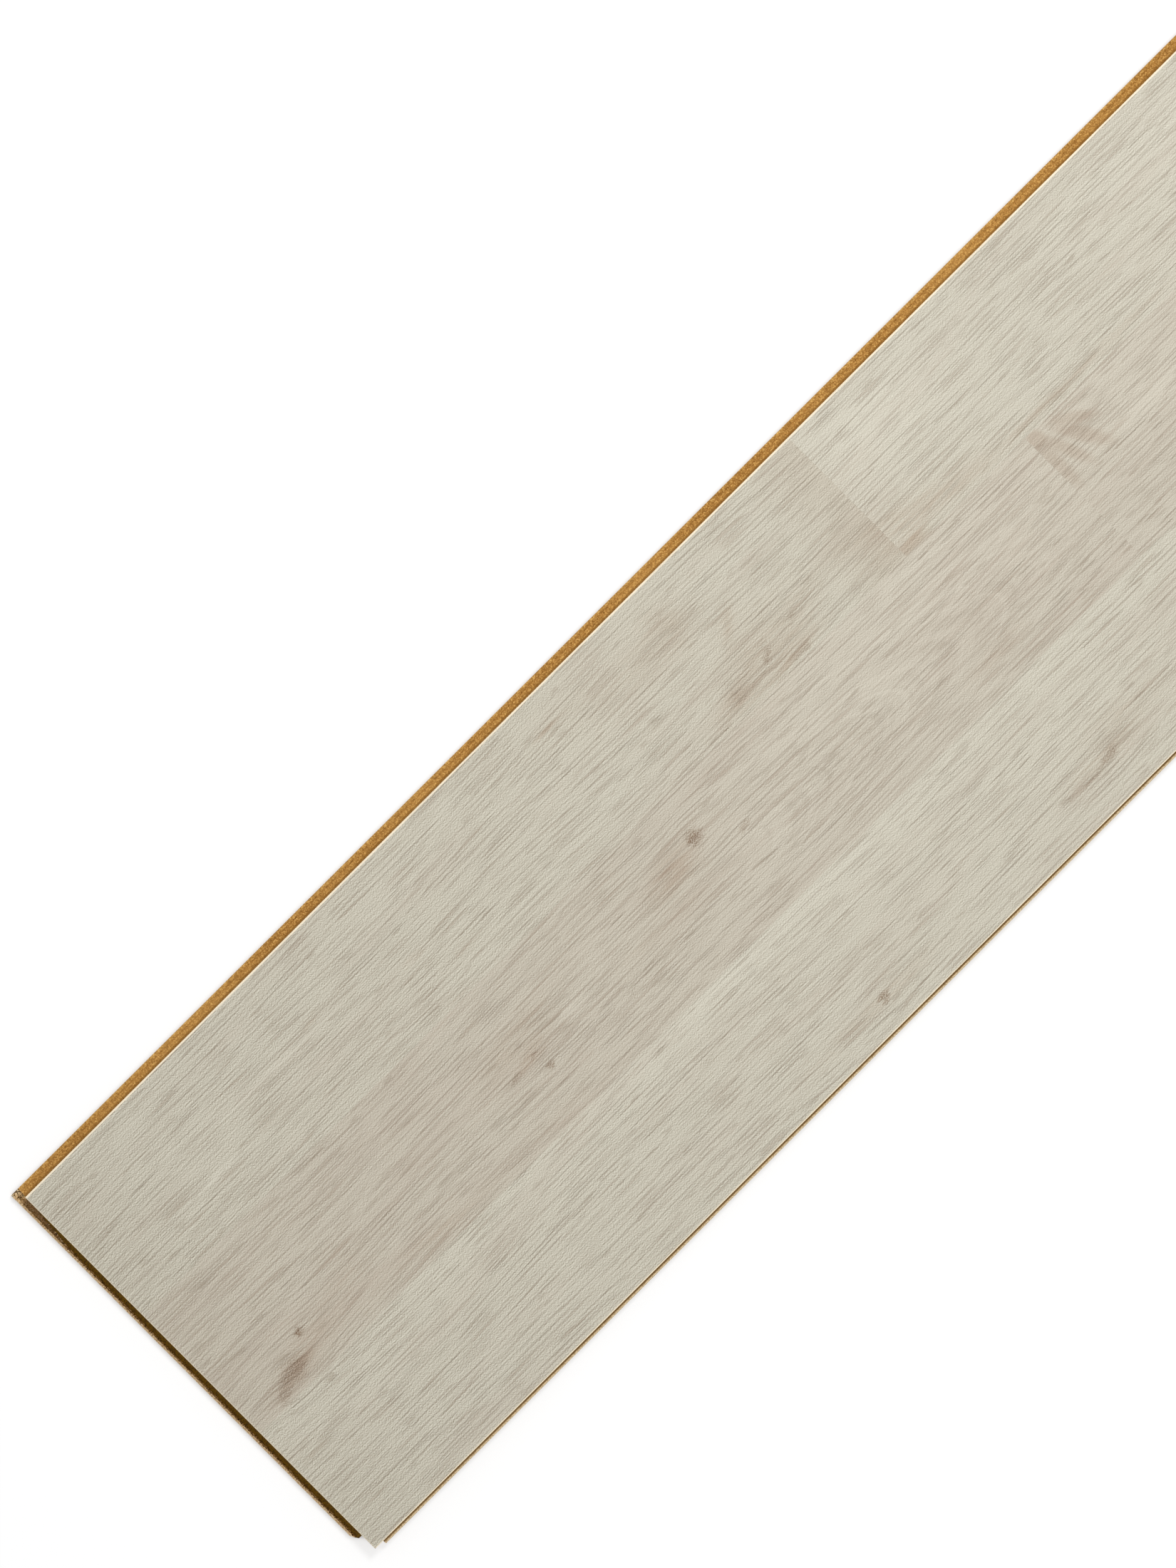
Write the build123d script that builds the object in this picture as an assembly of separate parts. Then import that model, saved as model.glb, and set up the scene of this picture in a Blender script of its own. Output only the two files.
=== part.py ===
from build123d import *
import os

# A laminate floor plank that clicks together with its neighbours. It lies face up: X runs along the plank,
# Z is up, and the origin is on the underside, below the middle of the printed face. The edges at +Y and -X
# have a groove over a locking lip, and the edges at -Y and +X have the tongue that goes into it.
# All sizes are in millimetres.

# Face that shows on a laid floor, from joint face to joint face
face_length = 1292.0
face_width = 193.0

# Thickness of the board and of the laminate pressed on it
board_thickness = 8.0
decor_thickness = 0.4

# Bevel round the face: how far it runs in from the edge and how deep it goes
bevel_width = 0.5
bevel_depth = 0.25

# Tongue, the same on the long side and on the end
tongue_reach = 1.65
tongue_top = 5.2
tongue_bottom = 2.7
nose_height = 4.0
nose_radius = 0.7

# Lip of the long side, from the joint face outwards: channel, lock flank, ridge, run-down to the edge
long_channel_width = 2.6
long_flank_width = 0.6
long_ridge_width = 0.6
long_rundown_width = 0.7
long_channel_floor = 2.0
long_ridge_rise = 0.3
long_rundown_drop = 0.4

# Lip of the end, narrower and with a steeper flank, because the next plank drops straight down onto it
end_channel_width = 2.6
end_flank_width = 0.3
end_ridge_width = 0.5
end_rundown_width = 0.5
end_channel_floor = 1.6
end_ridge_rise = 1.1
end_rundown_drop = 0.9

# Rounding of both ridges, and the small bevel under the outer edge of both lips
ridge_round = 0.15
lip_underside_bevel = 0.3

# Above the groove only a band of the joint face below the laminate is tight, and the rest is cut back a little
tight_band = 1.0
relief_depth = 0.15

# Play between this plank and the next one
nose_play = 0.35
mating_play = 0.08
lock_play = 0.05
lip_edge_play = 0.3

# Corners, where planks meet: lips and tongues stop short of them, and a lip's outer corner is cut off
lip_setback = 7.1
tongue_setback = 4.2
lip_corner_run = 3.0
lip_corner_cut = 1.8

# The blank is this much larger than the milled plank on each edge
milling_allowance = 2.0

core_thickness = board_thickness - decor_thickness
half_length = face_length / 2
half_width = face_width / 2

# Ways out of the plank at its four edges
left = Vector(0, 1, 0)
right = Vector(0, -1, 0)
near = Vector(-1, 0, 0)
far = Vector(1, 0, 0)


class Lock:
    """A lip's upper surface. Widths add up outwards from the joint face, heights are from the underside."""

    def __init__(self, channel_width, flank_width, ridge_width, rundown_width, floor, ridge_rise, rundown_drop):
        self.channel_end = channel_width
        self.ridge_start = channel_width + flank_width
        self.ridge_end = self.ridge_start + ridge_width
        self.reach = self.ridge_end + rundown_width
        self.floor = floor
        self.ridge_top = floor + ridge_rise
        self.edge_top = self.ridge_top - rundown_drop


long_lock = Lock(
    long_channel_width,
    long_flank_width,
    long_ridge_width,
    long_rundown_width,
    long_channel_floor,
    long_ridge_rise,
    long_rundown_drop,
)
end_lock = Lock(
    end_channel_width,
    end_flank_width,
    end_ridge_width,
    end_rundown_width,
    end_channel_floor,
    end_ridge_rise,
    end_rundown_drop,
)


def channel_middle(lock, start_height):
    """Middle of the channel's arc, which leaves the foot of the flank level and rises to the groove."""
    rise = start_height - lock.floor
    radius = (lock.channel_end**2 + rise**2) / (2 * rise)
    across = lock.channel_end / 2
    return lock.channel_end - across, lock.floor + radius - (radius**2 - across**2) ** 0.5


def groove_section(lock):
    """What is milled away along a lip edge: the groove, and all that is above and outside the lip.

    Local X points outwards from the joint face, and local Y is up from the underside.
    """
    above = board_thickness + milling_allowance
    beyond = lock.reach + milling_allowance
    nose_root = tongue_reach - nose_radius
    groove_floor = tongue_bottom - mating_play
    with BuildSketch() as section:
        with BuildLine():
            Line((0, groove_floor), (-nose_root, nose_height - nose_radius - mating_play))
            ThreePointArc(
                (-nose_root, nose_height - nose_radius - mating_play),
                (-tongue_reach - nose_play, nose_height),
                (-nose_root, nose_height + nose_radius),
            )
            Polyline(
                (-nose_root, nose_height + nose_radius),
                (-relief_depth, tongue_top),
                (-relief_depth, core_thickness - tight_band - relief_depth),
                (0, core_thickness - tight_band),
                (0, above),
                (beyond, above),
                (beyond, -milling_allowance),
                (lock.reach - lip_underside_bevel - milling_allowance, -milling_allowance),
                (lock.reach, lip_underside_bevel),
                (lock.reach, lock.edge_top),
            )
            FilletPolyline(
                (lock.reach, lock.edge_top),
                (lock.ridge_end, lock.ridge_top),
                (lock.ridge_start, lock.ridge_top),
                (lock.channel_end, lock.floor),
                radius=ridge_round,
            )
            ThreePointArc(
                (lock.channel_end, lock.floor),
                channel_middle(lock, groove_floor),
                (0, groove_floor),
            )
        make_face()
    return section.sketch


def tongue_section(lock):
    """What is milled away along a tongue edge: all round the tongue, and the seat for the next plank's lip.

    Local X points outwards from the joint face, and local Y is up from the underside.
    """
    above = board_thickness + milling_allowance
    beyond = tongue_reach + milling_allowance
    nose_root = tongue_reach - nose_radius
    seat_end = -lock.reach - lip_edge_play
    seat_top = lock.ridge_top + mating_play
    middle, middle_height = channel_middle(lock, tongue_bottom - mating_play)
    with BuildSketch() as section:
        with BuildLine():
            ThreePointArc(
                (nose_root, nose_height + nose_radius),
                (tongue_reach, nose_height),
                (nose_root, nose_height - nose_radius),
            )
            Line((nose_root, nose_height - nose_radius), (0, tongue_bottom))
            ThreePointArc(
                (0, tongue_bottom),
                (-middle, middle_height + mating_play),
                (lock_play - lock.channel_end, lock.floor + mating_play),
            )
            Polyline(
                (lock_play - lock.channel_end, lock.floor + mating_play),
                (lock_play - lock.ridge_start, seat_top),
                (seat_end, seat_top),
                (seat_end, -milling_allowance),
                (beyond, -milling_allowance),
                (beyond, above),
                (0, above),
                (0, tongue_top),
                (nose_root, nose_height + nose_radius),
            )
        make_face()
    return section.sketch


def run_along(section, outward, joint_face):
    """The cut that a section makes all along one edge, and on past both of its corners."""
    plane = Plane(origin=outward * joint_face, x_dir=outward, z_dir=outward.cross(Vector(0, 0, 1)))
    return extrude(plane * section, amount=face_length, both=True)


def lip_trim(lock):
    """Plan of what a lip loses at a tongue corner. X is out from the joint face, Y is on past the corner."""
    beyond = lock.reach + milling_allowance
    return Polyline(
        (0, -lip_setback),
        (lock.reach - lip_corner_cut, -lip_setback),
        (lock.reach, -lip_setback - lip_corner_run),
        (beyond, -lip_setback - lip_corner_run),
        (beyond, beyond),
        (0, beyond),
        close=True,
    )


def tongue_trim():
    """Plan of what a tongue loses at a lip corner. X is out from the joint face, Y is on past the corner."""
    beyond = tongue_reach + milling_allowance
    return Polyline(
        (0, -tongue_setback),
        (beyond, -tongue_setback),
        (beyond, beyond),
        (0, beyond),
        close=True,
    )


def trim_corner(plan, outward, joint_face, towards, corner):
    """The cut that a plan makes through the plank's whole thickness at one corner."""
    up = outward.cross(towards)
    plane = Plane(origin=outward * joint_face + towards * corner, x_dir=outward, z_dir=up)
    return extrude(plane * make_face(plan), amount=board_thickness, both=True)


def hdf_core():
    """The fibreboard: a blank with its two long edges and its two ends milled to shape."""
    near_x = -half_length - end_lock.reach - milling_allowance
    far_x = half_length + tongue_reach + milling_allowance
    right_y = -half_width - tongue_reach - milling_allowance
    left_y = half_width + long_lock.reach + milling_allowance
    core = Pos(near_x, right_y, 0) * Box(
        far_x - near_x,
        left_y - right_y,
        core_thickness,
        align=(Align.MIN, Align.MIN, Align.MIN),
    )
    core -= run_along(groove_section(long_lock), left, half_width)
    core -= run_along(tongue_section(long_lock), right, half_width)
    core -= run_along(groove_section(end_lock), near, half_length)
    core -= run_along(tongue_section(end_lock), far, half_length)
    core -= trim_corner(lip_trim(end_lock), near, half_length, right, half_width)
    core -= trim_corner(lip_trim(long_lock), left, half_width, far, half_length)
    core -= trim_corner(tongue_trim(), right, half_width, near, half_length)
    core -= trim_corner(tongue_trim(), far, half_length, left, half_width)
    return core


def decor_layer():
    """The pressed wear layer: flush with the joint faces, with a bevel right round its face."""
    square_height = decor_thickness - bevel_depth
    bottom = Plane.XY.offset(core_thickness)
    bevel_start = Plane.XY.offset(core_thickness + square_height)
    top = Plane.XY.offset(board_thickness)
    square_part = extrude(bottom * Rectangle(face_length, face_width), amount=square_height)
    bevelled_part = loft(
        [
            bevel_start * Rectangle(face_length, face_width),
            top * Rectangle(face_length - 2 * bevel_width, face_width - 2 * bevel_width),
        ],
        ruled=True,
    )
    return square_part + bevelled_part


os.makedirs("parts", exist_ok=True)
export_step(hdf_core(), "parts/hdf_core.step")
export_step(decor_layer(), "parts/decor_layer.step")
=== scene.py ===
"""A laminate floor plank lying face up: a milled fibreboard core with a printed oak face pressed on it.

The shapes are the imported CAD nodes, and this script gives them their finishes, the frayed fibres of the
sawn end, and the light, floor and camera.
"""

import math
import random

import bmesh
import bpy
from mathutils import Matrix, Vector


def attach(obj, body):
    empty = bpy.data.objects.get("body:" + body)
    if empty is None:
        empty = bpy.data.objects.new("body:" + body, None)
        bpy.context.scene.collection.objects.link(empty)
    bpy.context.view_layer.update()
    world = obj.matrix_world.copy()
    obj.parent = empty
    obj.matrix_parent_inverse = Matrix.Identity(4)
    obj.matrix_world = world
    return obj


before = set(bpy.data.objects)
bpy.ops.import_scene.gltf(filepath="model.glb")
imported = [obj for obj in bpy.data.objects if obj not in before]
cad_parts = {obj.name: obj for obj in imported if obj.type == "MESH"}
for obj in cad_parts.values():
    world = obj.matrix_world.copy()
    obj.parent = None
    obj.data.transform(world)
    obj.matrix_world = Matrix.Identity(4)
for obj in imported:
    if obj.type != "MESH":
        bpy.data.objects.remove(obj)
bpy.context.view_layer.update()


# Fibreboard core. The real board is wood fibre pressed with resin, golden brown where a cutter has just
# passed, and milled on its four edges. The end's locking channel is painted dark as the shade below the
# face's edge, and the left corner beside it is torn, its pale fibre partly painted light. A brown balancing
# paper is pressed on the underside.

# Sizes are in millimetres
FACE_LENGTH = 1292.0
FACE_WIDTH = 193.0
BOARD_THICKNESS = 8.0
PAPER_THICKNESS = 0.1


class Finish:
    """The nodes of a material or of the world. Its calls take sockets or plain numbers, and give a socket."""

    def __init__(self, owner):
        self.owner = owner
        owner.use_nodes = True
        self.tree = owner.node_tree
        self.tree.nodes.clear()

    def put(self, socket, value):
        if isinstance(value, bpy.types.NodeSocket):
            self.tree.links.new(value, socket)
        else:
            socket.default_value = value

    def node(self, kind, inputs, **settings):
        """The new node itself, for the calls below and for nodes that need more than one socket."""
        made = self.tree.nodes.new("ShaderNode" + kind)
        for name, value in settings.items():
            setattr(made, name, value)
        for name, value in inputs.items():
            self.put(made.inputs[name], value)
        return made

    def calc(self, operation, *values, clamp=False):
        """A sum on numbers."""
        return self.node("Math", dict(enumerate(values)), operation=operation, use_clamp=clamp).outputs[0]

    def total(self, *values):
        """All the numbers added up."""
        result = values[0]
        for value in values[1:]:
            result = self.calc("ADD", result, value)
        return result

    def times(self, *values):
        """All the numbers multiplied."""
        result = values[0]
        for value in values[1:]:
            result = self.calc("MULTIPLY", result, value)
        return result

    def shift(self, place, step):
        """The place moved by a step."""
        return self.node("VectorMath", {0: place, 1: step}, operation="ADD").outputs[0]

    def stretch(self, place, along, across, through=1.0):
        """The place divided by a pattern's size along the plank, across it and through it."""
        scale = (1 / along, 1 / across, 1 / through)
        return self.node("VectorMath", {0: place, 1: scale}, operation="MULTIPLY").outputs[0]

    def noise(self, place, detail=2.0, roughness=0.5):
        """Cloudy numbers from 0 to 1, about one cloud to each unit of place."""
        inputs = {"Vector": place, "Scale": 1.0, "Detail": detail, "Roughness": roughness}
        return self.node("TexNoise", inputs).outputs["Fac"]

    def between(self, value, low, high, start=0.0, end=1.0):
        """The value eased from start to end as it goes from low to high."""
        inputs = {"Value": value, "From Min": low, "From Max": high, "To Min": start, "To Max": end}
        return self.node("MapRange", inputs, interpolation_type="SMOOTHSTEP").outputs[0]

    def blend(self, amount, first, second, how="MIX"):
        """The first colour, covered by the second as the amount goes from 0 to 1."""
        mix = self.tree.nodes.new("ShaderNodeMix")
        mix.data_type = "RGBA"
        mix.blend_type = how
        self.put(mix.inputs["Factor"], amount)
        self.put(mix.inputs[6], first)
        self.put(mix.inputs[7], second)
        return mix.outputs[2]

    def place(self):
        """Millimetres along the plank from its near end, across it from its lip edge, and up."""
        where = self.node("TexCoord", {}).outputs["Object"]
        inputs = {
            "Vector": where,
            "Location": (FACE_LENGTH / 2, FACE_WIDTH / 2, 0.0),
            "Scale": (1000.0, -1000.0, 1000.0),
        }
        return self.node("Mapping", inputs).outputs[0]

    def parts(self, place):
        """The three numbers of a place."""
        return self.node("SeparateXYZ", {0: place}).outputs

    def gather(self, along, across, height):
        """A place from three numbers."""
        return self.node("CombineXYZ", {0: along, 1: across, 2: height}).outputs[0]

    def surface(self, tint, roughness, gloss, relief=None):
        """Ends a material with one plain surface, and gives back the material."""
        shader = self.node("BsdfPrincipled", {"Base Color": tint, "Roughness": roughness})
        shader.inputs["Specular IOR Level"].default_value = gloss
        if relief:
            self.put(shader.inputs["Normal"], relief)
        return self.end("OutputMaterial", shader.outputs[0])

    def end(self, kind, shader):
        """Ends the nodes with what light meets, and gives back their material or world."""
        self.node(kind, {"Surface": shader})
        return self.owner


def colour(red, green, blue):
    """A colour as paint samples give it, from 0 to 255, as the renderer wants it."""
    linear = [((c / 255 + 0.055) / 1.055) ** 2.4 for c in (red, green, blue)]
    return (*linear, 1.0)


def wear(node_name, material):
    """Puts a finish on one of the CAD pieces."""
    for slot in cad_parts[node_name].material_slots:
        slot.material = material


FIBRE_GOLD = colour(187, 136, 64)
FIBRE_LIGHT = colour(230, 184, 106)
DARK_FIBRE_AND_SHADE = colour(132, 88, 26)
TONGUE_SHADE_BROWN = colour(126, 96, 48)
NOSE_HIGHLIGHT = colour(248, 226, 186)
CHANNEL_SHADE_BROWN = colour(128, 94, 2)
CHANNEL_SHADE_DARK = colour(88, 61, 0)
# Torn fibre colours: the fibre is paler than the board, and these colours are made lighter still as painted
# light
TORN_BROWN_LIT = colour(226, 190, 130)
TORN_PALE_LIT = colour(250, 232, 200)
TORN_SHADOW = colour(70, 46, 10)
BACKING_PAPER = colour(176, 152, 122)

# Pattern of the pressed fibre: single flecks, tufts of them, and slow clouds through the whole board
FLECK_SIZE = (0.65, 0.65, 0.65)
TUFT_SIZE = (2.2, 2.2, 1.6)
CLOUD_SIZE = (60.0, 60.0, 60.0)
PAPER_MOTTLE_SIZE = (25.0, 6.0)

# The tongue: where its root begins to be painted brown as shade, and where its nose grows pale as a painted
# highlight, out from the joint face
TONGUE_START = 0.02
TONGUE_SHADING = 0.85
NOSE_HIGHLIGHT_START = 0.50
NOSE_HIGHLIGHT_END = 1.20

# The lips lie below this height, and the painted shade along the joint face on the long one is this wide
LIP_TOP = 3.4
LIP_TOP_FADE = 3.0
FACE_SHADE_WIDTH = 1.3
FACE_SHADE_FADE = 0.7
FACE_SHADE_DEPTH = 0.7

# Lip of the near end: its channel, its outer edge, and the stretch by the left corner that is torn
END_CHANNEL_WIDTH = 2.6
END_LIP_REACH = 3.9
TORN_LENGTH = 29.0
TORN_WOBBLE = 14.0

BOARD_ROUGHNESS = 0.82
BOARD_GLOSS = 0.3
BOARD_BUMP = 0.6

# Height of the relief of both materials, in metres
RELIEF = 0.00012


def pressed_fibre(board, place, flecks, tufts):
    """The board as a cutter leaves it."""
    clouds = board.noise(board.stretch(place, *CLOUD_SIZE))
    tint = board.blend(board.between(flecks, 0.50, 0.68), FIBRE_GOLD, FIBRE_LIGHT)
    tint = board.blend(board.between(flecks, 0.50, 0.32, 0.0, 0.80), tint, DARK_FIBRE_AND_SHADE)
    tint = board.blend(board.between(tufts, 0.55, 0.35, 0.0, 0.25), tint, DARK_FIBRE_AND_SHADE)
    return board.blend(board.between(clouds, 0.4, 0.65, 0.0, 0.20), tint, FIBRE_LIGHT)


def shaded_and_lit_tongue(board, tint, across, flecks):
    """The long tongue, its root painted brown as shade and its nose pale as a highlight that the fibre shows
    in.
    """
    tongue = board.calc("GREATER_THAN", across, FACE_WIDTH + TONGUE_START)
    # Painted shade at the root below the face, and a painted highlight on the rounded nose
    tint = board.blend(board.times(tongue, TONGUE_SHADING), tint, TONGUE_SHADE_BROWN)
    nose = board.between(across, FACE_WIDTH + NOSE_HIGHLIGHT_START, FACE_WIDTH + NOSE_HIGHLIGHT_END)
    fibre = board.between(flecks, 0.36, 0.60, 0.45, 0.95)
    return board.blend(board.times(nose, fibre), tint, NOSE_HIGHLIGHT)


def lip_shaded_by_face(board, tint, across, low):
    """The long lip, darkened in a strip along the joint face as painted shade."""
    face_shade = board.between(across, -FACE_SHADE_WIDTH, -FACE_SHADE_FADE)
    beside_face = board.calc("LESS_THAN", across, 0.0)
    # Painted shade: a darker strip where the lip meets the face's edge
    return board.blend(board.times(face_shade, beside_face, low, FACE_SHADE_DEPTH), tint, DARK_FIBRE_AND_SHADE)


def shaded_and_torn_end(board, tint, parts, low, flecks, tufts):
    """The end's channel, painted shade up to its ridge, and torn along a widening line from the left corner.
    """
    along, across, height = parts
    out = board.times(along, -1.0)
    outside_end = board.times(board.calc("GREATER_THAN", out, 0.0), low)
    torn_line = board.calc("SUBTRACT", board.times(out, TORN_LENGTH / END_CHANNEL_WIDTH), across)
    wobble = board.times(board.calc("SUBTRACT", tufts, 0.5), TORN_WOBBLE)
    torn = board.between(board.total(torn_line, wobble), -1.0, 2.0)
    ridge = board.between(board.total(out, board.times(flecks, 0.8)), 2.82, 3.12)
    rough = board.times(outside_end, board.calc("MAXIMUM", torn, ridge))

    # Painted shade: the channel below the face's end is coloured dark brown, as its shade would make it
    channel_shade = board.calc("SUBTRACT", outside_end, rough)
    channel_shade_tint = board.blend(board.between(flecks, 0.35, 0.6), CHANNEL_SHADE_DARK, CHANNEL_SHADE_BROWN)
    tint = board.blend(channel_shade, tint, channel_shade_tint)

    # Torn fibre is palest, partly as painted light, and has the fewest gaps, painted as shadow, at the lip's
    # outer edge, and below that the cut is clean
    pale_fleck = board.between(flecks, 0.40, 0.62, -0.3, 0.4)
    paleness_and_light = board.calc("ADD", board.between(out, 2.7, 3.6), pale_fleck, clamp=True)
    fray = board.blend(paleness_and_light, TORN_BROWN_LIT, TORN_PALE_LIT)
    fullness = board.total(flecks, board.between(out, 1.8, 3.6, -0.04, 0.09))
    gaps = board.between(fullness, 0.54, 0.46, 0.0, 0.95)
    fray = board.blend(gaps, fray, TORN_SHADOW)
    upper_edge = board.between(height, 0.9, 1.6, 0.15, 1.0)
    return board.blend(board.times(rough, upper_edge), tint, fray)


def papered_underside(board, tint, place, height):
    """The balancing paper, whose thickness shows at the board's edges."""
    mottle = board.noise(board.stretch(place, *PAPER_MOTTLE_SIZE), detail=4.0)
    paper_tint = board.blend(board.between(mottle, 0.35, 0.65, 0.0, 0.35), BACKING_PAPER, DARK_FIBRE_AND_SHADE)
    return board.blend(board.calc("LESS_THAN", height, PAPER_THICKNESS), tint, paper_tint)


def fibreboard_finish():
    board = Finish(bpy.data.materials.new("pressed_fibreboard"))
    place = board.place()
    parts = board.parts(place)
    along, across, height = parts
    flecks = board.noise(board.stretch(place, *FLECK_SIZE), roughness=0.65)
    tufts = board.noise(board.stretch(place, *TUFT_SIZE))
    low = board.between(height, LIP_TOP, LIP_TOP_FADE)

    tint = pressed_fibre(board, place, flecks, tufts)
    tint = shaded_and_lit_tongue(board, tint, across, flecks)
    tint = lip_shaded_by_face(board, tint, across, low)
    tint = shaded_and_torn_end(board, tint, parts, low, flecks, tufts)
    tint = papered_underside(board, tint, place, height)

    bump = {"Strength": BOARD_BUMP, "Distance": RELIEF, "Height": board.total(flecks, tufts)}
    return board.surface(tint, BOARD_ROUGHNESS, BOARD_GLOSS, board.node("Bump", bump).outputs[0])


wear("hdf_core", fibreboard_finish())


# Frayed fibres. The saw that cut the near end tore the outer edge of its lip, and left pale loose fibres
# along it, which their finish makes lighter still as painted light. By the left corner they fill part of the
# channel too.

EDGE_FIBRES = 5200
CORNER_FIBRES = 1500
TUFT_COUNT = 150

# Lengths and radii of the fibres, least and most, and how far they stand up and turn aside in degrees, least,
# most and commonest
FIBRE_LENGTHS = (0.35, 1.00)
FIBRE_RADII = (0.03, 0.08)
FIBRE_TAPER = 0.4
FIBRE_PITCHES = (0, 75, 25)
FIBRE_HEADINGS = (-85, 85, 0)

# Roots go into the board this deep, and tips stay this far inside the lip's outer edge
ROOT_DEPTH = 0.12
TIP_ROOM = 0.15

# Where the roots are: out from the face's end, least, most and commonest, and across from the lip edge
EDGE_ROOTS = (2.7, 3.75, 3.4)
FRAYED_SIDES = (-3.3, 182.5)
CORNER_INNERMOST = 0.2
CORNER_OUTERMOST = 3.0
CORNER_THICKEST = 2.0

# Upper surface of the end's lip, from the face outwards: channel, flank, ridge, run-down
CHANNEL_FLOOR = 1.6
CHANNEL_RISE = 0.98
RIDGE_START = 2.9
RIDGE_END = 3.4
RIDGE_HEIGHT = 2.7
EDGE_HEIGHT = 1.8


def lip_height(out):
    """Height of the end lip's upper surface, this far out from the face's end."""
    if out < END_CHANNEL_WIDTH:
        return CHANNEL_FLOOR + CHANNEL_RISE * (1 - out / END_CHANNEL_WIDTH) ** 2
    if out < RIDGE_START:
        climb = (out - END_CHANNEL_WIDTH) / (RIDGE_START - END_CHANNEL_WIDTH)
        return CHANNEL_FLOOR + (RIDGE_HEIGHT - CHANNEL_FLOOR) * climb
    if out < RIDGE_END:
        return RIDGE_HEIGHT
    return RIDGE_HEIGHT - (RIDGE_HEIGHT - EDGE_HEIGHT) * (out - RIDGE_END) / (END_LIP_REACH - RIDGE_END)


def add_fibre(tuft, chance, out, side):
    """One loose fibre with its root at a place on the lip."""
    length = chance.uniform(*FIBRE_LENGTHS)
    pitch = math.radians(chance.triangular(*FIBRE_PITCHES))
    heading = math.radians(chance.triangular(*FIBRE_HEADINGS))
    outward = math.cos(pitch) * math.cos(heading)
    length *= min(1.0, (END_LIP_REACH - TIP_ROOM - out) / (length * outward))
    way = Vector((-outward, math.cos(pitch) * math.sin(heading), math.sin(pitch)))
    root = Vector((-FACE_LENGTH / 2 - out, FACE_WIDTH / 2 - side, lip_height(out) - ROOT_DEPTH))
    middle = root + way * (length + ROOT_DEPTH) / 2
    turn = way.to_track_quat("Z", "Y").to_matrix().to_4x4()
    radius = chance.uniform(*FIBRE_RADII)
    bmesh.ops.create_cone(
        tuft,
        cap_ends=True,
        segments=3,
        radius1=radius,
        radius2=radius * FIBRE_TAPER,
        depth=length + ROOT_DEPTH,
        matrix=Matrix.Scale(0.001, 4) @ Matrix.Translation(middle) @ turn,
    )


def frayed_fibres():
    chance = random.Random(4)
    roots = []
    for _ in range(EDGE_FIBRES):
        roots.append((chance.triangular(*EDGE_ROOTS), chance.uniform(*FRAYED_SIDES)))
    for _ in range(CORNER_FIBRES):
        side = chance.triangular(FRAYED_SIDES[0], TORN_LENGTH, CORNER_THICKEST)
        inner = max(CORNER_INNERMOST, END_CHANNEL_WIDTH * side / TORN_LENGTH)
        roots.append((chance.uniform(inner, CORNER_OUTERMOST), side))

    # They are made in tufts, because adding to a large mesh is slow
    fibres = bmesh.new()
    for first in range(0, len(roots), TUFT_COUNT):
        tuft = bmesh.new()
        for out, side in roots[first:first + TUFT_COUNT]:
            add_fibre(tuft, chance, out, side)
        bmesh.ops.recalc_face_normals(tuft, faces=tuft.faces)
        tuft_mesh = bpy.data.meshes.new("tuft")
        tuft.to_mesh(tuft_mesh)
        tuft.free()
        fibres.from_mesh(tuft_mesh)
        bpy.data.meshes.remove(tuft_mesh)
    mesh = bpy.data.meshes.new("frayed_fibres")
    fibres.to_mesh(mesh)
    fibres.free()
    return bpy.data.objects.new("frayed_fibres", mesh)


# Colours of the loose fibres: pale torn fibre, the palest made lighter still as painted light
FRAY_PALE_LIT = colour(252, 234, 200)
FRAY_GOLD = colour(206, 166, 98)
WISP_SIZE = (0.8, 0.35, 0.5)
WISP_ROUGHNESS = 0.9
WISP_GLOSS = 0.2


def loose_fibre_finish():
    wisp = Finish(bpy.data.materials.new("torn_wood_fibre"))
    place = wisp.place()
    streaks = wisp.noise(wisp.stretch(place, *WISP_SIZE), detail=1.0)
    outwards = wisp.between(wisp.parts(place)[0], -END_CHANNEL_WIDTH, -END_LIP_REACH, 0.15, 0.75)
    # Paler outwards, partly as painted light
    fray_paleness_and_light = wisp.calc("ADD", outwards, wisp.between(streaks, 0.35, 0.65, -0.4, 0.4), clamp=True)
    return wisp.surface(wisp.blend(fray_paleness_and_light, FRAY_GOLD, FRAY_PALE_LIT), WISP_ROUGHNESS, WISP_GLOSS)


frayed = frayed_fibres()
frayed.data.materials.append(loose_fibre_finish())
bpy.context.scene.collection.objects.link(frayed)
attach(frayed, "root")


# Decor layer. Paper printed with three rows of pale oak staves, under a hard clear resin that is pressed with
# fine pores. The grit and hairs of the print also carry painted light and shade, as of that pressed relief,
# and past the middle the print is painted a little darker as shade. Its bevelled edge shows the cream resin
# below the print, with a painted highlight along the lip edge.

# Where the rows meet across the plank, and where each row's staves end along it
ROW_ENDS = (65.3, 129.7)
STAVE_ENDS = ((419.0, 905.0), (484.0, 1010.0), (742.0, 1168.0))

OAK_SHADE = colour(156, 147, 128)
OAK_LIGHT = colour(224, 219, 202)
OAK_BLUSH = colour(188, 170, 154)
OAK_RUSSET = colour(160, 134, 114)
STAIN_DYE = colour(212, 190, 176)
KNOT_DYE = colour(156, 120, 84)
PORE_BROWN = colour(146, 130, 110)
RESIN_CREAM_AND_HIGHLIGHT = colour(255, 241, 214)

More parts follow.
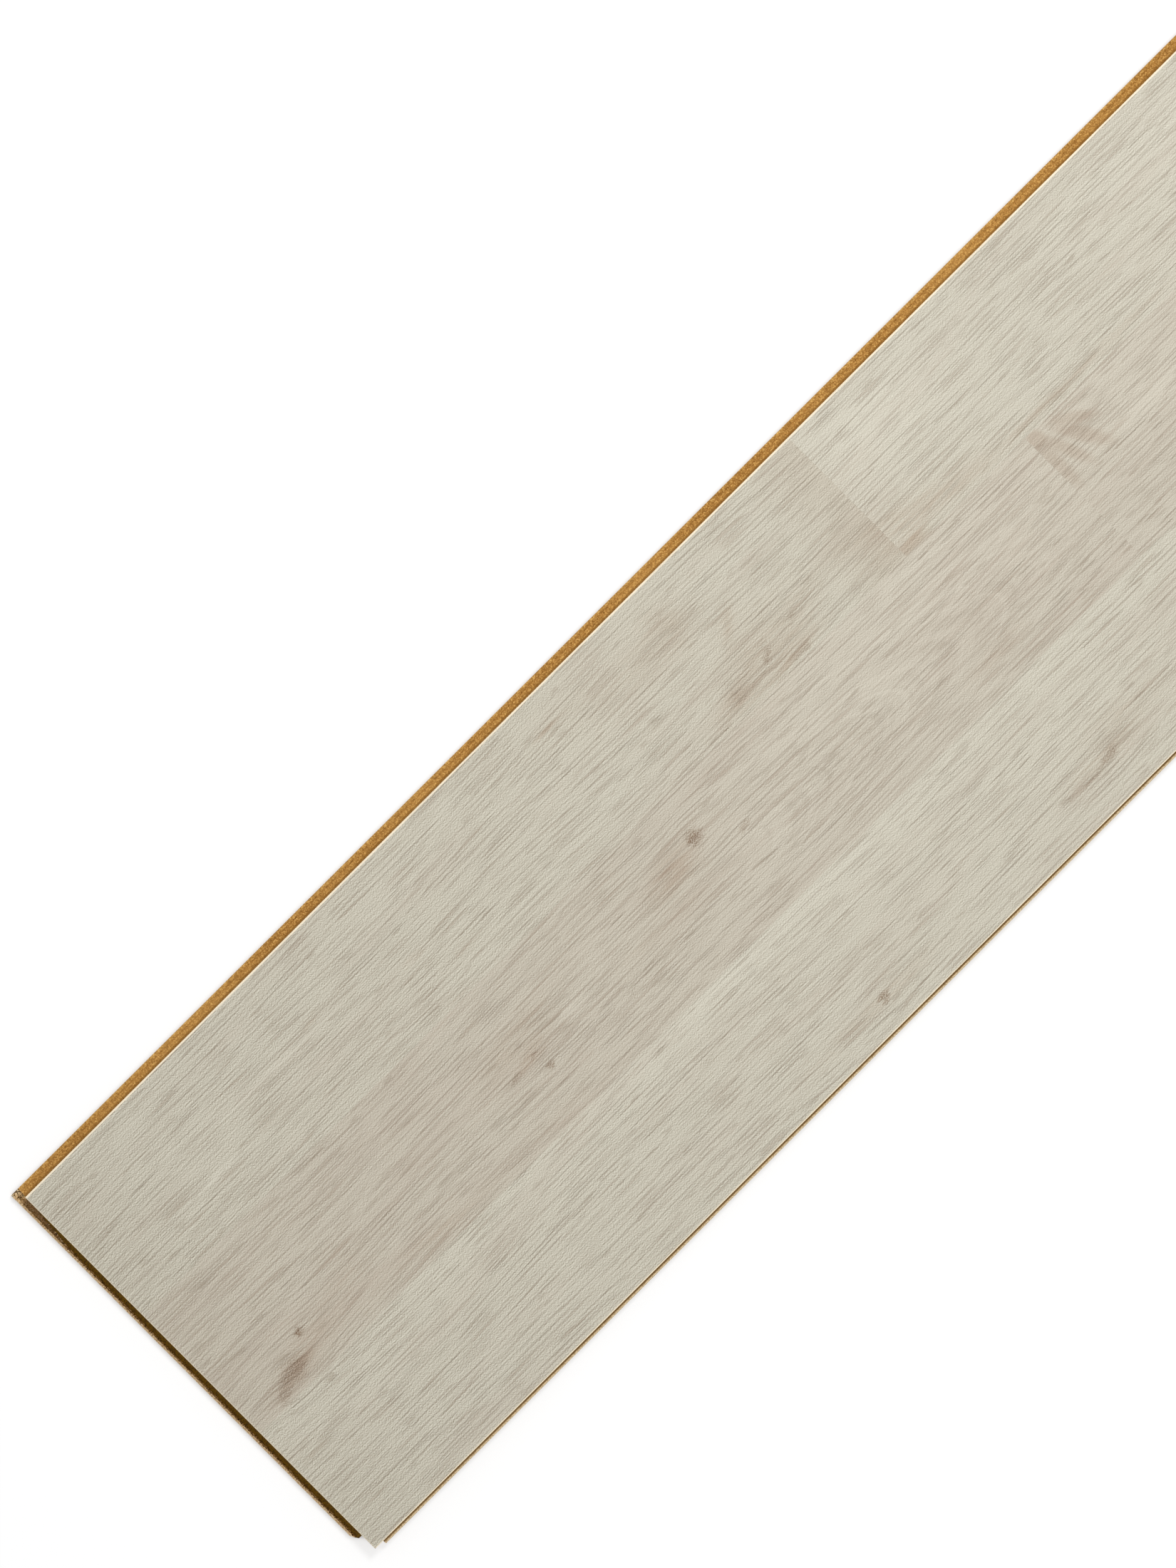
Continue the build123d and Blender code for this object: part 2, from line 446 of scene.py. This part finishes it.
# Knots: place along and across the plank, half length and half width, turn in degrees, depth of colour
KNOTS = (
    (27.4, 121.4, 6.4, 4.5, -15.0, 0.34),
    (18.5, 124.8, 6.0, 2.6, -40.0, 0.30),
    (38.2, 112.0, 2.1, 1.8, -20.0, 0.60),
    (181.6, 107.9, 1.9, 1.5, 0.0, 0.50),
    (179.4, 100.4, 1.9, 0.8, -20.0, 0.35),
    (168.0, 102.0, 3.2, 1.2, -15.0, 0.25),
    (283.2, 84.4, 3.5, 3.2, 0.0, 0.55),
    (300.1, 95.0, 3.5, 1.2, -20.0, 0.28),
    (291.7, 180.8, 2.4, 2.3, 0.0, 0.50),
    (421.0, 175.6, 4.2, 2.0, -8.0, 0.38),
    (411.0, 177.3, 7.0, 0.9, -5.0, 0.28),
    (353.4, 54.8, 3.4, 1.6, -40.0, 0.34),
    (363.5, 62.5, 5.5, 1.6, -4.0, 0.26),
    (370.6, 50.9, 3.0, 1.5, -45.0, 0.18),
    (335.3, 58.2, 7.0, 3.5, -10.0, 0.14),
    (321.5, 63.3, 4.5, 0.7, 0.0, 0.24),
    (716.0, 31.0, 3.6, 2.8, 6.0, 0.50),
    (790.0, 153.0, 5.0, 2.2, -10.0, 0.45),
    (868.0, 92.0, 3.0, 2.7, 0.0, 0.52),
    (1002.0, 44.0, 6.0, 2.0, 8.0, 0.40),
    (1094.0, 146.0, 3.4, 3.0, 0.0, 0.50),
    (1212.0, 86.0, 4.0, 2.4, -6.0, 0.42),
)

# Stains in the wood round the knots and elsewhere, given as the knots are
STAINS = (
    (29.0, 121.0, 13.0, 5.0, -14.0, 0.45),
    (60.0, 111.5, 24.0, 4.5, -14.0, 0.22),
    (55.0, 121.0, 40.0, 5.0, 0.0, 0.14),
    (178.0, 100.4, 11.0, 3.0, -12.0, 0.50),
    (176.0, 91.0, 20.0, 5.5, -12.0, 0.30),
    (268.0, 88.5, 14.0, 6.5, -10.0, 0.52),
    (255.0, 101.0, 22.0, 3.5, 0.0, 0.25),
    (292.0, 181.0, 26.0, 2.8, 0.0, 0.32),
    (421.0, 174.0, 20.0, 4.0, 0.0, 0.35),
    (440.0, 167.0, 20.0, 4.0, 5.0, 0.25),
    (335.3, 58.0, 13.0, 4.5, -6.0, 0.42),
    (360.0, 61.5, 14.0, 2.4, -4.0, 0.45),
    (353.0, 50.0, 22.0, 11.0, -20.0, 0.28),
    (372.0, 52.0, 20.0, 5.0, -18.0, 0.22),
    (350.0, 35.5, 8.5, 2.4, -45.0, 0.35),
    (333.0, 18.0, 9.0, 8.0, 20.0, 0.36),
    (425.0, 51.0, 26.0, 5.0, 12.0, 0.30),
    (440.0, 59.0, 30.0, 5.0, 0.0, 0.25),
    (419.0, 116.7, 14.0, 2.6, 0.0, 0.40),
    (506.0, 61.8, 55.0, 1.8, 0.0, 0.40),
    (272.6, 13.9, 7.0, 1.2, 0.0, 0.50),
    (127.6, 29.4, 6.0, 1.6, 0.0, 0.30),
    (173.3, 40.8, 5.0, 1.2, 0.0, 0.30),
    (188.3, 51.9, 5.0, 0.9, 0.0, 0.30),
    (104.0, 122.9, 15.0, 3.0, 6.0, 0.26),
    (150.0, 125.0, 60.0, 4.0, 0.0, 0.12),
    (310.0, 22.0, 30.0, 9.0, 10.0, 0.20),
    (716.0, 33.0, 24.0, 5.0, 6.0, 0.40),
    (800.0, 156.0, 30.0, 5.0, -8.0, 0.35),
    (852.0, 95.0, 22.0, 6.0, -8.0, 0.42),
    (940.0, 118.0, 50.0, 4.0, 0.0, 0.30),
    (1020.0, 48.0, 34.0, 6.0, 8.0, 0.38),
    (1080.0, 150.0, 24.0, 5.0, 0.0, 0.35),
    (1215.0, 90.0, 30.0, 7.0, -6.0, 0.35),
)

# Pale places in the wood, given as the knots are
PALE_MARKS = (
    (203.3, 98.7, 6.0, 3.0, 0.0, 0.45),
    (99.0, 32.7, 34.0, 0.9, 0.0, 0.35),
    (56.0, 46.6, 13.0, 0.9, 0.0, 0.35),
    (448.0, 20.0, 28.0, 16.0, 0.0, 0.26),
    (250.0, 133.0, 90.0, 3.0, 0.0, 0.20),
    (530.0, 88.0, 18.0, 5.0, 0.0, 0.25),
    (620.0, 20.0, 60.0, 12.0, 0.0, 0.15),
)

# Dark lobes of a branch's foot, fanned out from one corner at the start of the middle row's second stave
FOOT_LOBES = (
    (487.0, 67.8, 4.0, 3.4, 60.0, 0.34),
    (486.2, 80.0, 13.5, 3.2, 88.0, 0.34),
    (492.8, 79.5, 12.0, 2.7, 69.0, 0.36),
    (501.0, 79.5, 13.0, 3.2, 57.0, 0.38),
    (503.5, 72.8, 9.5, 2.4, 36.0, 0.34),
)
FOOT_DEEPEST = 0.42
KNOT_DEEPEST = 0.6
STAIN_STRENGTH = 0.8

# A short dark offcut at the start of the first row's second stave: where it ends, along and across the plank
OFFCUT_END = (436.0, 426.0)
OFFCUT_SIDE = (60.5, 61.5)
OFFCUT_DEPTH = 0.45

# The first stave of that row darkens towards its end
SHADED_END = (385.0, 420.0)
SHADED_DEPTH = 0.20

# How far stains and knots stray from their drawn outlines, along and across, and the size of that raggedness
RAGGED_REACH = (8.0, 2.4, 0.0)
RAGGED_SIZE = (5.0, 1.4)

# The grain waves slowly, and swings aside round a knot, over this many times the knot's size
WAVE_SIZE = (200.0, 60.0)
WAVE_REACH = 12.0
KNOT_SPREAD = 3.2
KNOT_PUSH = -0.45

# Patterns of the print, as long and as wide as their features. The grit is pressed in too, and the rest is
# drawn along the grain. The grit and the hairs also get a lit and a shaded side, painted a step apart.
GRIT_SIZE = (0.62, 0.56)
GRIT_SHADING_STEP = 0.75
HAIR_SIZE = (20.0, 0.38)
HAIR_SHADING_STEP = 1.0
THREAD_SIZE = (26.0, 0.70)
LINE_SIZE = (80.0, 1.2)
FIBRE_SIZE = (26.0, 1.8)
STRAND_SIZE = (24.0, 1.1)
RUSSET_SIZE = (26.0, 1.3)
PORE_SIZE = (10.0, 0.8)
PORE_FIELD_SIZE = (70.0, 4.0)
BREAK_SIZE = (40.0, 5.0)
STREAK_SIZE = (120.0, 5.0)
BAND_SIZE = (300.0, 16.0)
BLUSH_SIZE = (90.0, 14.0)

# How strongly each is drawn
GRIT_SHADING_DEPTH = 1.50
HAIR_SHADING_DEPTH = 0.38
THREAD_DEPTH = 0.15
LINE_DEPTH = 0.06
FIBRE_DEPTH = 0.03
RIB_DEPTH = 0.22
STREAK_DEPTH = 0.05
BAND_DEPTH = 0.05
ARCH_DEPTH = 0.65
NEAR_CONTRAST = 1.15
FAR_CONTRAST = 0.80

# Fine ribs that the press leaves along the grain: their pitch, and how far and how slowly they wander
RIB_PITCH = 1.80
RIB_WANDER = 1.5
RIB_WANDER_SIZE = (70.0, 6.0)

# Growth rings of the middle row's first stave: the arches' middle line, how sharply they bend, their pitch,
# and where along the plank they come and go
ARCH_MIDDLE = 102.6
ARCH_CURVE = 0.139
ARCH_PITCH = 4.8
ARCH_WIDTH = 60.0
ARCH_COMING = (270.0, 320.0)
ARCH_GOING = (484.0, 440.0)

# Bevel: how far below the face the cream resin starts, how wide a painted highlight runs along the lip edge,
# and how much of the cream shows at the near end, where it is dimmed as painted shade
PRINT_THICKNESS = 0.02
PRINT_FADE = 0.05
LIP_EDGE_HIGHLIGHT = 0.80
LIP_EDGE_HIGHLIGHT_FADE = 0.60
NEAR_END_SHADED_CREAM = 0.45

RESIN_ROUGHNESS = 0.48
RESIN_GLOSS = 0.4

# Numbers that keep the grain of one row or stave apart from the next one's
ROW_SEEDS = (31.7, 17.3)
STAVE_SEEDS = (13.1, 7.9)


def stave_of(oak, along, across):
    """Which row a place is in, which stave ends it has passed, and a number that its stave has to itself."""
    second_row = oak.calc("GREATER_THAN", across, ROW_ENDS[0])
    third_row = oak.calc("GREATER_THAN", across, ROW_ENDS[1])
    middle_row = oak.calc("SUBTRACT", second_row, third_row)
    first_row = oak.calc("SUBTRACT", 1.0, second_row)
    passed = []
    for first, second, third in zip(*STAVE_ENDS):
        end = oak.total(oak.times(second_row, second - first), oak.times(third_row, third - second), first)
        passed.append(oak.calc("GREATER_THAN", along, end))
    seed = oak.total(
        oak.times(second_row, ROW_SEEDS[0]),
        oak.times(third_row, ROW_SEEDS[1]),
        oak.times(passed[0], STAVE_SEEDS[0]),
        oak.times(passed[1], STAVE_SEEDS[1]),
    )
    return (first_row, middle_row, third_row), passed, seed


def offset_from(oak, mark, source, spread=1.0):
    """How far a place is from a mark's middle, as a share of the mark's own half sizes."""
    mark_along, mark_across, half_length, half_width, turn = mark[:5]
    inputs = {
        "Vector": source,
        "Location": (mark_along, mark_across, 0.0),
        "Rotation": (0.0, 0.0, math.radians(turn)),
        "Scale": (half_length * spread, half_width * spread, 1.0),
    }
    return oak.node("Mapping", inputs, vector_type="TEXTURE").outputs[0]


def dot(oak, first, second):
    return oak.node("VectorMath", {0: first, 1: second}, operation="DOT_PRODUCT").outputs["Value"]


def fading(oak, square):
    """1 in a mark's middle, falling softly to nothing outside it."""
    return oak.calc("POWER", math.exp(-1), square)


def depth_of(oak, marks, source, crisp=False):
    """How deep the marks are at a place. A crisp mark has an even middle and a narrow edge."""
    depths = []
    for mark in marks:
        offset = offset_from(oak, mark, source)
        square = dot(oak, offset, offset)
        if crisp:
            square = oak.times(square, square)
        depths.append(oak.times(fading(oak, square), mark[5]))
    return oak.total(*depths)


def ragged_place(oak, flat):
    """A place that strays a little, so that marks drawn on it have torn outlines."""
    inputs = {"Vector": oak.stretch(flat, *RAGGED_SIZE), "Scale": 1.0, "Detail": 2.0}
    stray = oak.shift(oak.node("TexNoise", inputs).outputs["Color"], (-0.5, -0.5, -0.5))
    return oak.node("VectorMath", {0: stray, 1: RAGGED_REACH, 2: flat}, operation="MULTIPLY_ADD").outputs[0]


def grain_flow(oak, along, across, flat, seed):
    """Which grain line a place is on: the lines wave slowly along each stave, and swing aside round knots."""
    wave = oak.noise(oak.stretch(oak.gather(along, across, seed), *WAVE_SIZE), detail=1.0)
    pushes = [oak.times(oak.calc("SUBTRACT", wave, 0.5), WAVE_REACH)]
    for mark in KNOTS:
        offset = offset_from(oak, mark, flat, spread=KNOT_SPREAD)
        inside = fading(oak, dot(oak, offset, offset))
        pushes.append(oak.times(inside, dot(oak, offset, (0.0, KNOT_PUSH * mark[3], 0.0))))
    return oak.total(across, oak.total(*pushes))


def lit_and_shaded_sides(oak, place, side):
    """A fine pattern, and how it differs from itself a step aside, painted as a lit and a shaded side of
    relief.
    """
    pattern = oak.noise(place, roughness=0.6)
    beside = oak.noise(oak.shift(place, (0.0, side, 0.0)), roughness=0.6)
    return pattern, oak.calc("SUBTRACT", pattern, beside)


def pressed_ribs(oak, grain, crumbled, breaks):
    """Even, narrow ribs along the grain, fainter here and there."""
    wander = oak.noise(oak.stretch(grain, *RIB_WANDER_SIZE), detail=1.0)
    phase = oak.times(oak.calc("MULTIPLY_ADD", wander, RIB_WANDER, crumbled), math.tau / RIB_PITCH)
    wave = oak.calc("MULTIPLY_ADD", oak.calc("SINE", phase), 0.5, 0.5)
    return oak.times(oak.calc("POWER", wave, 4.0), oak.between(breaks, 0.3, 0.6, 0.75, 1.0))


def growth_rings(oak, along, across, middle_row):
    """Arches of growth rings in the middle row, with their tips towards the far end, and their own depth."""
    side = oak.calc("SUBTRACT", across, ARCH_MIDDLE)
    sweep = oak.times(oak.times(side, side), ARCH_CURVE)
    rings = oak.noise(oak.gather(
        oak.calc("DIVIDE", oak.total(along, sweep), ARCH_PITCH),
        oak.calc("DIVIDE", across, ARCH_WIDTH),
        0.0,
    ))
    span = oak.times(oak.between(along, *ARCH_COMING), oak.between(along, *ARCH_GOING), middle_row)
    return rings, oak.times(span, ARCH_DEPTH)


def tone_of(oak, along, across, rows, passed, ragged):
    """Plain tone of the print. Rows and staves differ a little, and the near end is a little darker."""
    first_row, middle_row, third_row = rows
    sunny = oak.times(oak.between(along, 290.0, 360.0), oak.between(across, 115.0, 75.0, 0.0, 0.07))
    return oak.total(
        oak.between(along, 8.0, 50.0, 0.62, 0.68),
        # Past 300 mm the print is painted a little darker: shade that holds back the soft box's stronger
        # light there
        oak.between(along, 300.0, 560.0, 0.0, -0.06),
        oak.times(middle_row, sunny),
        oak.times(third_row, oak.between(across, 132.0, 172.0, 0.065, 0.02)),
        oak.times(first_row, passed[0], 0.045),
        oak.times(depth_of(oak, PALE_MARKS, ragged), 0.5),
    )


def dark_stave_ends(oak, along, across, flat, rows, passed):
    """What ends sharply where its stave does: a branch's foot, a dark offcut and a stave's shaded end."""
    first_row, middle_row = rows[:2]
    foot = oak.calc("MINIMUM", depth_of(oak, FOOT_LOBES, flat, crisp=True), FOOT_DEEPEST)
    foot = oak.times(foot, oak.times(middle_row, passed[0]))
    offcut = oak.times(oak.between(along, *OFFCUT_END), oak.between(across, *OFFCUT_SIDE))
    offcut = oak.times(first_row, oak.times(offcut, passed[0]))
    shade = oak.times(oak.between(along, *SHADED_END, 0.0, SHADED_DEPTH), first_row)
    shade = oak.times(shade, oak.calc("SUBTRACT", 1.0, passed[0]))
    return oak.total(foot, oak.times(offcut, OFFCUT_DEPTH), shade)


def resin_edge_and_highlight(oak, along, across, height):
    """The bevel's cream resin, dimmed at the near end as painted shade, and a painted highlight on the lip
    edge.
    """
    cut = oak.between(height, BOARD_THICKNESS - PRINT_THICKNESS, BOARD_THICKNESS - PRINT_FADE)
    cut = oak.times(cut, oak.between(along, 0.3, 0.6, NEAR_END_SHADED_CREAM, 1.0))
    return oak.calc("MAXIMUM", cut, oak.between(across, LIP_EDGE_HIGHLIGHT, LIP_EDGE_HIGHLIGHT_FADE))


def oak_print():
    oak = Finish(bpy.data.materials.new("printed_oak"))
    place = oak.place()
    along, across, height = oak.parts(place)
    flat = oak.gather(along, across, 0.0)
    ragged = ragged_place(oak, flat)
    rows, passed, seed = stave_of(oak, along, across)
    middle_row = rows[1]

    # Grain lines follow the flow, and in the coarser ones the grit crumbles their sides
    flow = grain_flow(oak, along, across, flat, seed)
    grain = oak.gather(along, flow, seed)
    grit, grit_light_and_shade = lit_and_shaded_sides(oak, oak.stretch(place, *GRIT_SIZE), GRIT_SHADING_STEP)
    crumbled = oak.calc("MULTIPLY_ADD", oak.calc("SUBTRACT", grit, 0.5), 0.7, flow)
    rough_grain = oak.gather(along, crumbled, seed)

    hairs, hair_light_and_shade = lit_and_shaded_sides(oak, oak.stretch(grain, *HAIR_SIZE), HAIR_SHADING_STEP)
    breaks = oak.noise(oak.stretch(grain, *BREAK_SIZE), detail=1.0)
    weft = oak.noise(oak.stretch(rough_grain, *THREAD_SIZE), detail=0.0)
    threads = oak.times(oak.between(weft, 0.58, 0.70), oak.between(breaks, 0.38, 0.62, 0.7, 1.0))
    rings, ring_depth = growth_rings(oak, along, across, middle_row)
    # The grit's and the hairs' sides are painted light and shade of the pressed relief
    drawing = [oak.times(grit_light_and_shade, GRIT_SHADING_DEPTH), oak.times(hair_light_and_shade, HAIR_SHADING_DEPTH)]
    for pattern, depth in (
        (oak.noise(oak.stretch(grain, *LINE_SIZE)), LINE_DEPTH),
        (oak.noise(oak.stretch(grain, *FIBRE_SIZE)), FIBRE_DEPTH),
        (oak.noise(oak.stretch(grain, *STREAK_SIZE)), STREAK_DEPTH),
        (oak.noise(oak.stretch(grain, *BAND_SIZE), detail=1.0), BAND_DEPTH),
        (rings, ring_depth),
    ):
        drawing.append(oak.times(oak.calc("SUBTRACT", pattern, 0.5), depth))
    drawing.append(oak.times(pressed_ribs(oak, grain, crumbled, breaks), -RIB_DEPTH))
    drawing.append(oak.times(threads, -THREAD_DEPTH))
    contrast = oak.between(along, 0.0, 500.0, NEAR_CONTRAST, FAR_CONTRAST)
    tone = tone_of(oak, along, across, rows, passed, ragged)
    drawn = oak.calc("MULTIPLY_ADD", oak.total(*drawing), contrast, tone, clamp=True)
    tint = oak.blend(drawn, OAK_SHADE, OAK_LIGHT)

    # A pink blush here and there and all over the middle row, and russet in the threads and between them
    blush = oak.noise(oak.stretch(grain, *BLUSH_SIZE))
    tint = oak.blend(oak.between(blush, 0.45, 0.75, 0.0, 0.14), tint, OAK_BLUSH)
    tint = oak.blend(oak.times(middle_row, 0.20), tint, OAK_BLUSH)
    tint = oak.blend(oak.times(threads, 0.22), tint, OAK_RUSSET)
    russets = oak.noise(oak.stretch(grain, *RUSSET_SIZE), detail=1.0)
    russet = oak.times(oak.between(russets, 0.56, 0.76), oak.between(blush, 0.40, 0.62, 0.03, 0.16))
    tint = oak.blend(russet, tint, OAK_RUSSET)

    # Stains and knots dye the drawn wood, streaked by the grain and mottled by the grit
    strands = oak.noise(oak.stretch(rough_grain, *STRAND_SIZE), roughness=0.6)
    streaky = oak.between(strands, 0.34, 0.64, 0.35, 1.45)
    stain = oak.times(oak.times(depth_of(oak, STAINS, ragged), STAIN_STRENGTH), streaky)
    dark_ends = dark_stave_ends(oak, along, across, flat, rows, passed)
    tint = oak.blend(oak.calc("ADD", stain, dark_ends, clamp=True), tint, STAIN_DYE, "MULTIPLY")
    mottle = oak.between(grit, 0.36, 0.64, 1.50, 0.40)
    knot = oak.calc("MINIMUM", depth_of(oak, KNOTS, ragged, crisp=True), KNOT_DEEPEST)
    tint = oak.blend(oak.times(knot, mottle), tint, KNOT_DYE, "MULTIPLY")

    pores = oak.noise(oak.stretch(rough_grain, *PORE_SIZE), detail=0.0)
    pore_field = oak.noise(oak.stretch(grain, *PORE_FIELD_SIZE), detail=1.0)
    dashes = oak.times(oak.between(pores, 0.64, 0.72), oak.between(pore_field, 0.35, 0.62, 0.05, 0.35))
    tint = oak.blend(dashes, tint, PORE_BROWN)
    # The bevel's cream, with a painted highlight along the lip edge and painted shade at the near end
    tint = oak.blend(resin_edge_and_highlight(oak, along, across, height), tint, RESIN_CREAM_AND_HIGHLIGHT)

    # The press sinks the pores and threads, and raises the rest
    raised = oak.calc("MULTIPLY_ADD", hairs, 0.6, grit)
    pressed = oak.calc("SUBTRACT", raised, oak.total(dashes, threads))
    bump = {"Strength": 1.0, "Distance": RELIEF, "Height": pressed}
    return oak.surface(tint, RESIN_ROUGHNESS, RESIN_GLOSS, oak.node("Bump", bump).outputs[0])


wear("decor_layer", oak_print())


# Floor. A plain white studio floor, which keeps the plank's soft shadow from the lamp, and whose glow is
# dimmed close to the plank as a painted contact shadow.

# Size in metres, how much light it throws back on the plank, and how much of the lamp's light shows on it
FLOOR_SIZE = 40.0
FLOOR_BOUNCE = 0.8
FLOOR_SHADING = 0.40

# The painted contact shadow reaches this far, in metres, and the floor's own white glow rises across it
CONTACT_REACH = 0.003
CONTACT_SHADOW_GLOW = 0.34
OPEN_WHITE = 0.66

WHITE = (1.0, 1.0, 1.0, 1.0)

bpy.ops.mesh.primitive_plane_add(size=FLOOR_SIZE, location=(0, 0, 0))
floor = bpy.context.object
floor.name = "studio_floor"


def grey(level):
    return (level, level, level, 1.0)


def seen_directly(finish):
    """1 where the camera sees the surface, also by way of a gloss or through glass."""
    path = finish.node("LightPath", {}).outputs
    seen = finish.calc("MAXIMUM", path["Is Camera Ray"], path["Is Glossy Ray"])
    return finish.calc("MAXIMUM", seen, path["Is Transmission Ray"])


def floor_finish():
    paint = Finish(bpy.data.materials.new("white_floor"))
    bounce = paint.node("BsdfDiffuse", {"Color": grey(FLOOR_BOUNCE)}).outputs[0]
    shade = paint.node("BsdfDiffuse", {"Color": grey(FLOOR_SHADING)}).outputs[0]
    reach = {"Distance": CONTACT_REACH}
    closeness = paint.node("AmbientOcclusion", reach, samples=8, only_local=False).outputs["AO"]
    # Painted contact shadow: the floor's glow is dimmed where the plank is close
    white = paint.between(closeness, 0.3, 0.9, CONTACT_SHADOW_GLOW, OPEN_WHITE)
    glow = paint.node("Emission", {"Color": WHITE, "Strength": white}).outputs[0]
    seen = paint.node("AddShader", {0: shade, 1: glow}).outputs[0]
    mixed = paint.node("MixShader", {0: seen_directly(paint), 1: bounce, 2: seen}).outputs[0]
    return paint.end("OutputMaterial", mixed)


floor.data.materials.append(floor_finish())


# Light. A soft box hangs high beyond the far end, a little towards the lip edge, and the white studio fills
# the rest. Both levels are shares of the light that shows a white surface at full brightness.

FILL_LEVEL = 0.60
KEY_LEVEL = 0.38

# Way to the soft box in degrees, round from the far end and up from the floor, and its distance and size
KEY_HEADING = 20.0
KEY_ELEVATION = 64.0
KEY_DISTANCE = 1.5
KEY_SIZE = 0.4

# Middle of the camera's view, in metres
VIEW_CENTRE = Vector((-0.3773, 0.0559, BOARD_THICKNESS / 1000))

heading = math.radians(KEY_HEADING)
rise = math.radians(KEY_ELEVATION)
key_way = Vector((math.cos(heading) * math.cos(rise), math.sin(heading) * math.cos(rise), math.sin(rise)))
key_lamp = bpy.data.lights.new("key_soft_box", "AREA")
key_lamp.shape = "RECTANGLE"
key_lamp.size = KEY_SIZE
key_lamp.size_y = KEY_SIZE
key_lamp.energy = KEY_LEVEL * math.pi**2 * KEY_DISTANCE**2 / math.sin(rise)
key = bpy.data.objects.new("key_soft_box", key_lamp)
key.location = VIEW_CENTRE + key_way * KEY_DISTANCE
key.rotation_euler = key_way.to_track_quat("Z", "Y").to_euler()
bpy.context.scene.collection.objects.link(key)

studio = Finish(bpy.data.worlds.new("studio"))
strength = studio.between(seen_directly(studio), 0.0, 1.0, FILL_LEVEL, 1.0)
backdrop = studio.node("Background", {"Color": WHITE, "Strength": strength}).outputs[0]
bpy.context.scene.world = studio.end("OutputWorld", backdrop)


# Camera. It looks straight down through a long lens, with the plank running up to the right.

# Lens and sensor in millimetres, height of the view at the printed face in metres, and its turn in degrees
LENS = 200.0
SENSOR = 36.0
VIEW_HEIGHT = 0.6101
PLANK_TURN = -44.89

eye = bpy.data.cameras.new("copy_camera")
eye.lens = LENS
eye.sensor_width = SENSOR
eye.clip_end = 100.0
camera = bpy.data.objects.new("copy_camera", eye)
camera.location = VIEW_CENTRE + Vector((0, 0, VIEW_HEIGHT * LENS / SENSOR))
camera.rotation_euler = (0, 0, math.radians(PLANK_TURN))
bpy.context.scene.collection.objects.link(camera)
bpy.context.scene.camera = camera

bpy.context.scene.view_settings.view_transform = "Standard"
